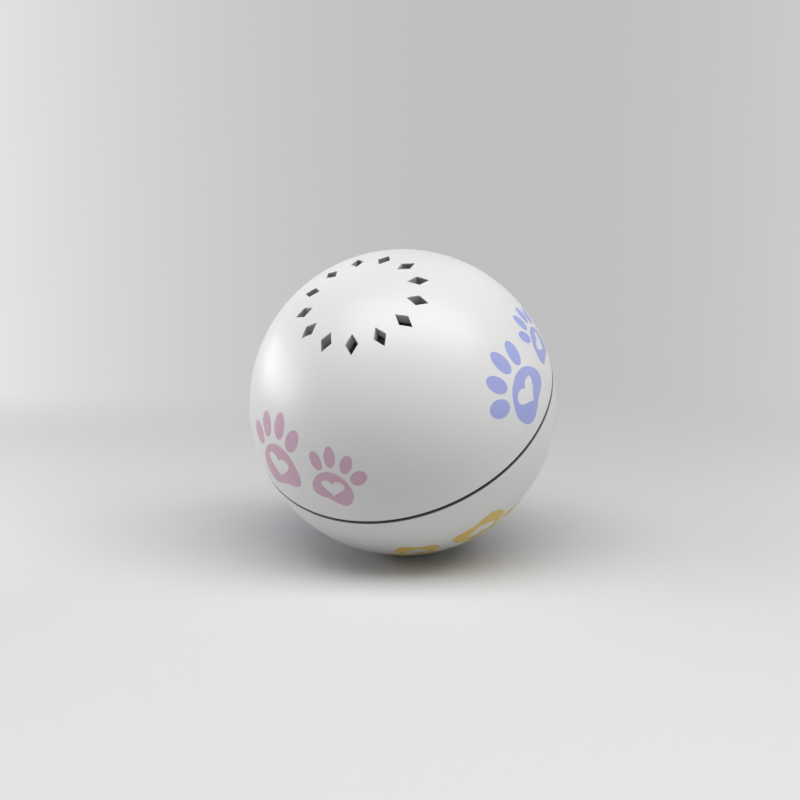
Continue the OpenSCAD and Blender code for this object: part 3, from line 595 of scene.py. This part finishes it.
# %% Outline of the pad
# In mm from the pad's centre, with the toes upwards
PAD = [
    (0.0, 6.05), (4.3, 4.5), (6.9, 0.6), (6.6, -2.2), (4.4, -3.35), (1.9, -3.75),
    (-0.7, -5.1), (-3.5, -5.95), (-6.0, -4.1), (-6.95, -0.2), (-4.5, 4.3),
]
CURVE_STEPS = 6


def smooth_loop(points):
    """A closed curve through the points, with the slope at each taken from its two neighbours."""
    count = len(points)
    knots = [Vector((x, y, 0)) for x, y in points]
    curve = []
    for k, knot in enumerate(knots):
        after = knots[(k + 1) % count]
        start = knot + (after - knots[k - 1]) / 6
        end = after - (knots[(k + 2) % count] - knot) / 6
        curve += interpolate_bezier(knot, start, end, after, CURVE_STEPS + 1)[:-1]
    return curve


print("pad:", len(smooth_loop(PAD)), "points from", len(PAD))

# %% [markdown]
# ## The heart in the pad
# The white shell shows through the heart. It could be drawn through points like the pad, but a heart has a
# well-known formula, which only needs its size, its place and a small tilt.

# %% Outline of the heart
# Place and size in mm, and a tilt to the left
HEART_AT = Vector((-0.4, 0.2))
HEART_SIZE = (8.0, 6.0)
HEART_TILT = math.radians(6)


def heart_loop(count):
    """The usual heart curve, scaled to its size, from the notch round by the right."""
    curve = []
    for k in range(count):
        t = 2 * math.pi * k / count
        x = math.sin(t) ** 3 / 2
        y = (13 * math.cos(t) - 5 * math.cos(2 * t) - 2 * math.cos(3 * t) - math.cos(4 * t) + 2.5) / 29
        spot = Matrix.Rotation(HEART_TILT, 2) @ Vector((x * HEART_SIZE[0], y * HEART_SIZE[1])) + HEART_AT
        curve.append(spot.to_3d())
    return curve


print("heart:", HEART_SIZE[0], "by", HEART_SIZE[1], "mm")

# %% [markdown]
# ## The whole paw
# One large face for the pad would stay flat, and the ball is round. So the pad is bridged from its outline
# to the heart and cut into rings, and each toe is a disc of rings that is stretched and leaned.

# %% Pad and toes
# Toes in mm: centre, length, width and lean to the left of upright
TOES = [
    ((-9.9, 4.4), 6.1, 4.5, math.radians(62)),
    ((-6.5, 8.9), 6.4, 4.1, math.radians(29)),
    ((-0.8, 11.0), 6.9, 4.2, math.radians(2)),
    ((4.6, 9.1), 6.5, 4.1, math.radians(-28)),
]
TOE_STEPS = 40
FILM_RINGS = 4


def add_disc(bm, steps, radius, place):
    """A round fan of faces, cut into rings."""
    disc = bmesh.ops.create_circle(bm, cap_ends=True, cap_tris=True, segments=steps, radius=radius,
                                   matrix=place)
    middle = max(disc["verts"], key=lambda vert: len(vert.link_edges))
    bmesh.ops.subdivide_edges(bm, edges=list(middle.link_edges), cuts=FILM_RINGS - 1)


def draw_paw(bm):
    """One flat paw in mm, with its toes upwards."""
    outline = smooth_loop(PAD)
    rims = add_loop(bm, outline) + add_loop(bm, heart_loop(len(outline)))
    rungs = bmesh.ops.bridge_loops(bm, edges=rims)["edges"]
    bmesh.ops.subdivide_edges(bm, edges=rungs, cuts=FILM_RINGS - 1, use_grid_fill=True)
    for (x, y), length, width, lean in TOES:
        place = (Matrix.Translation((x, y, 0)) @ Matrix.Rotation(lean, 4, "Z")
                 @ Matrix.Diagonal((width / 2, length / 2, 1, 1)))
        add_disc(bm, TOE_STEPS, 1, place)


print("paw: a pad and", len(TOES), "toes")

# %% [markdown]
# ## Wrapping the drawing onto the ball
# Across the drawing is longitude and up the drawing is latitude. A shrinkwrap would pull the film onto the
# flat faces of the shell, and the globe's grid puts it on the true round. The film starts just above the
# shell, and solidify gives it a root below the surface, so that no gap shows at a grazing look.

# %% Print one paw
SMALL_PAW = 0.76
INK_FILM = 0.03 * MM
INK_ROOT = 0.05 * MM


def film_faces(bm, thickness):
    """Turns the faces of a film away from the ball and gives it its thickness inwards."""
    bmesh.ops.remove_doubles(bm, verts=bm.verts, dist=MERGE)
    for face in bm.faces:
        face.normal_update()
        if face.normal.dot(face.calc_center_median()) < 0:
            face.normal_flip()
    bmesh.ops.solidify(bm, geom=bm.faces[:], thickness=thickness)


def print_paw(name, body, ink, longitude, latitude, size, turned):
    bm = bmesh.new()
    draw_paw(bm)
    up = -size if turned else size
    across = -up if size == SMALL_PAW else up
    start = math.radians(longitude)
    level = math.radians(latitude)
    for vert in bm.verts:
        east_by = across * vert.co.x * MM / (ball_r * math.cos(level))
        north_by = up * vert.co.y * MM / ball_r
        vert.co = on_ball(start + east_by, level + north_by, ball_r + INK_FILM)
    film_faces(bm, INK_FILM + INK_ROOT)
    return keep_piece(bm, name, ink, body)


print("ink film:", round(INK_FILM / MM, 3), "mm over the shell")

# %% [markdown]
# ## Inks
# The inks are a soft pink, blue and yellow. One even colour would look like a sticker, and a printing pad
# leaves its ink a little unevenly, so each ink goes from a thin tint to a full one by noise of two sizes.

# %% Inks
def mix_ink(name, thin, full):
    """Ink that covers a little unevenly, between two tints."""
    ink = Finish(name)
    cover = ink.noise(2.5 * MM, 4.0)
    speck = ink.noise(0.2 * MM, 1.0)
    ink.feed("Base Color", ink.blend(cover * 0.7 + speck * 0.3, thin, full))
    ink.feed("Roughness", 0.36 + 0.1 * speck)
    return ink.bump(speck, 0.003 * MM)


inks = {
    "pink": mix_ink("ink_pink", (0.66, 0.44, 0.55), (0.60, 0.37, 0.49)),
    "blue": mix_ink("ink_blue", (0.41, 0.45, 0.80), (0.34, 0.38, 0.76)),
    "yellow": mix_ink("ink_yellow", (0.79, 0.58, 0.17), (0.73, 0.50, 0.11)),
}
print("inks:", sorted(inks))

# %% [markdown]
# ## Six pairs of paws
# Three pairs go round each half, one in each ink, with their toes towards the half's pole. An array would
# set them out evenly, but the prints on the ball aren't quite even, so each paw has its own place.

# %% Paws on the shell
# Body, ink, then longitude and latitude in degrees of the large paw and of the small one
PAIRS = [
    ("upper_half", "pink", (-115.9, 16.25), (-90.5, 15.4)),
    ("upper_half", "blue", (-1.5, 14.8), (24.1, 13.7)),
    ("upper_half", "yellow", (121.0, 14.8), (146.5, 14.0)),
    ("lower_half", "yellow", (-42.5, -26.3), (-69.4, -26.2)),
    ("lower_half", "pink", (77.5, -26.3), (51.0, -26.2)),
    ("lower_half", "blue", (197.5, -26.3), (171.0, -26.2)),
]
for body, colour, large, small in PAIRS:
    turned = body == "lower_half"
    for word, at, size in (("large", large, 1), ("small", small, SMALL_PAW)):
        print_paw(f"paw_{body}_{colour}_{word}", body, inks[colour], *at, size, turned)
print("paws printed:", 2 * len(PAIRS))

# %% [markdown]
# ## Buffed spots at the poles
# The plastic of a moulded half ball comes in at its pole, and the stub that is left there is cut off and
# buffed flush. In the solid all triangles meet at that point and catch the light in a hard wedge. A thin cap
# of the same plastic covers both: a disc with a few rings, bent to the ball as the paws are.

# %% Pole spots
SPOT_R = 2.1 * MM
SPOT_FILM = 0.015 * MM
SPOT_STEPS = 48


def buff_pole(name, body, side):
    bm = bmesh.new()
    add_disc(bm, SPOT_STEPS, SPOT_R, Matrix.Identity(4))
    for vert in bm.verts:
        rise = math.sqrt((ball_r + SPOT_FILM) ** 2 - vert.co.length ** 2)
        vert.co = globe @ Vector((vert.co.x, vert.co.y, side * rise))
    film_faces(bm, SPOT_FILM + INK_ROOT)
    return keep_piece(bm, name, finishes["white_shell"], body)


spots = [buff_pole("upper_pole_spot", "upper_half", 1), buff_pole("lower_pole_spot", "lower_half", -1)]
print("pole spots:", [len(spot.data.polygons) for spot in spots], "faces")

# %% [markdown]
# ## Studio
# The ball rests on a pale sweep: a floor that curves up into the backdrop. A flat floor and a wall would
# show a line between them, so the corner of the sweep's profile is bevelled widely before it is extruded
# across. The sweep is stage, so it isn't part of the ball.

# %% Sweep
SWEEP_WIDTH = 6.0
SWEEP_BACK = 1.1
SWEEP_FRONT = 1.6
SWEEP_TOP = 2.2
SWEEP_BEND = 0.7
SWEEP_BEND_STEPS = 24

bm = bmesh.new()
spine = [
    bm.verts.new((-SWEEP_WIDTH / 2, -SWEEP_FRONT, 0)),
    bm.verts.new((-SWEEP_WIDTH / 2, SWEEP_BACK, 0)),
    bm.verts.new((-SWEEP_WIDTH / 2, SWEEP_BACK, SWEEP_TOP)),
]
for pair in zip(spine, spine[1:]):
    bm.edges.new(pair)
bmesh.ops.bevel(bm, geom=[spine[1]], offset=SWEEP_BEND, segments=SWEEP_BEND_STEPS, profile=0.5,
                affect="VERTICES", material=-1)
swept = bmesh.ops.extrude_edge_only(bm, edges=bm.edges[:])["geom"]
far_side = [part for part in swept if isinstance(part, bmesh.types.BMVert)]
bmesh.ops.translate(bm, vec=(SWEEP_WIDTH, 0, 0), verts=far_side)
stand = Matrix.Translation((0, 0, -ball_r)) @ Matrix.Rotation(CAMERA_AZIMUTH, 4, "Z")
bmesh.ops.transform(bm, matrix=stand, verts=bm.verts)
bmesh.ops.recalc_face_normals(bm, faces=bm.faces)
for face in bm.faces:
    face.smooth = True
sweep_mesh = bpy.data.meshes.new("sweep")
bm.to_mesh(sweep_mesh)
bm.free()
sweep = bpy.data.objects.new("sweep", sweep_mesh)
bpy.context.scene.collection.objects.link(sweep)
print("sweep:", len(sweep_mesh.polygons), "faces")

# %% [markdown]
# ## Paper of the sweep
# The paper's colour holds painted light and shade: it is painted white in front and greyer behind, where the
# studio light falls off, and palest at the sides. Near the ball it is plain paper that takes the ball's shadow.
# Further away it glows with its painted tone by itself, but only to the camera, a gloss or a lens, so that a
# pale backdrop puts no light on the ball. For the same reason the light that bounces up from the paper sees a
# darker paper than the camera does.

# %% Paper
BLACK = (0, 0, 0)
WHITE = (1, 1, 1)
# Painted light and shade: the paper is painted paler in front of the ball and at the sides, and greyer behind it
FRONT_TONE = 0.715
BOUNCE_TONE = 0.59
FLOOR_TONE = 0.605
FLOOR_TURNS = (-0.055, 0.01)
DISTANCE_TONE = 0.58
DISTANCE_STARTS = (0.3, 0.7)
BACKDROP_STARTS = (0.08, 0.2)
# The tones fan out from a spot this far in front of the ball, up to these slopes to either side
FAN_FROM = 0.3848
FAN_ENDS = (0.26, 0.6)
# What a slope adds to a tone: a share of its square, a share of itself, and a fixed part
FLOOR_FAN = (1.7, -0.2, 0.0)
BACKDROP_FAN = (2.39, -0.33, -0.047)
PAPER_CLOUD = 400 * MM

paper = Finish("sweep_paper")
forwards = Vector((towards.x, towards.y, 0)).normalized()
behind = paper.towards(-forwards)
at_back = behind.rise(*BACKDROP_STARTS)
aside = paper.towards(rightwards) / (behind + FAN_FROM)
fan = 1 - aside.size().rise(*FAN_ENDS)


def fanned(squared, straight, fixed):
    return fan * (squared * aside * aside + straight * aside + fixed)


print("paper fans out from", round(FAN_FROM / MM), "mm in front")

# %% [markdown]
# ## Two papers in one
# The plain paper and the one that shows its tone by itself are two shaders, and a mix between them goes from
# the first to the second behind the ball and far from it.

# %% Near and far paper
floor_tone = FLOOR_TONE + fanned(*FLOOR_FAN)
near_tone = FRONT_TONE + behind.rise(*FLOOR_TURNS) * (floor_tone - FRONT_TONE)
seen = paper.looked_at()
paper.feed("Base Color", paper.blend(BOUNCE_TONE + seen * (near_tone - BOUNCE_TONE), BLACK, WHITE))
paper.feed("Roughness", 0.75 + 0.1 * paper.noise(PAPER_CLOUD))

# Painted light and shade: the far paper glows with a tone that is greyer behind and palest at the sides
far_tone = DISTANCE_TONE + at_back * fanned(*BACKDROP_FAN)
glow = paper.node("ShaderNodeBsdfPrincipled", sockets={
    "Base Color": (*BLACK, 1),
    "Specular IOR Level": 0.0,
    "Emission Color": paper.blend(far_tone, BLACK, WHITE),
    "Emission Strength": 1.0,
})
far = at_back + paper.far_out().rise(*DISTANCE_STARTS)
papers = {0: seen * far.capped(1.0), 1: Flow(paper, paper.shader.outputs[0]), 2: glow}
paper.ends_in("Material Output", paper.node("ShaderNodeMixShader", sockets=papers))
sweep_mesh.materials.append(paper.material)
print("paper nodes:", len(paper.tree.nodes))

# %% [markdown]
# ## Lights
# One large soft light hangs over the ball and reaches forward, which gives the bright cap with its soft
# lower edge. A long soft light on the left draws the bright strip there, and a weaker one on the right keeps
# that side from going dark. Small lamps would leave hard glints on the gloss, so all three are soft boxes.

# %% Lights
# Each light's place to the right, to the front and up, then its width and depth, and its watts
OVERHEAD = ((0.18, 0.26, 0.75), (1.4, 0.55), 9.65)
LEFT_SIDE = ((-0.8, -0.4, 0.1), (1.0, 0.35), 4.7)
RIGHT_SIDE = ((0.8, 0.05, 0.15), (1.0, 0.35), 1.0)
up = Vector((0, 0, 1))


def soft_light(name, facing, across, place, size, watts):
    """A soft box with its face along facing and its width along across."""
    lamp = bpy.data.lights.new(name, "AREA")
    lamp.shape = "RECTANGLE"
    lamp.size, lamp.size_y = size
    lamp.energy = watts
    rear = -facing
    turn = Matrix((across, rear.cross(across), rear)).transposed()
    right, front, high = place
    at = rightwards * right + forwards * front + up * high
    holder = bpy.data.objects.new(name, lamp)
    holder.matrix_world = Matrix.Translation(at) @ turn.to_4x4()
    bpy.context.scene.collection.objects.link(holder)


soft_light("overhead", -up, rightwards, *OVERHEAD)
soft_light("left_side", rightwards, -forwards, *LEFT_SIDE)
soft_light("right_side", -rightwards, forwards, *RIGHT_SIDE)
print("lights:", [lamp.name for lamp in bpy.data.lights])

# %% [markdown]
# ## Room
# Past the edges of the sweep the camera would look into the dark. A bright world would also light the ball
# from all sides and flatten it, so the room looks pale, but gives hardly any light.

# %% Room round the sweep
ROOM_COLOUR = (0.5, 0.5, 0.51)
ROOM_LIGHT = 0.03

world = bpy.data.worlds.new("studio")
bpy.context.scene.world = world
world.use_nodes = True
room = Network(world.node_tree)
dim = room.node("ShaderNodeBackground", sockets={"Color": (*ROOM_COLOUR, 1), "Strength": ROOM_LIGHT})
pale = room.node("ShaderNodeBackground", sockets={"Color": (DISTANCE_TONE, DISTANCE_TONE, DISTANCE_TONE, 1)})
rooms = {0: room.looked_at(), 1: dim, 2: pale}
room.ends_in("World Output", room.node("ShaderNodeMixShader", sockets=rooms))
print("room nodes:", len(room.tree.nodes))

# %% [markdown]
# ## Finish
# The colours are shown as they are written, without a film look.

# %% Colours as written
bpy.context.scene.view_settings.view_transform = "Standard"
print("colours shown as:", bpy.context.scene.view_settings.view_transform)
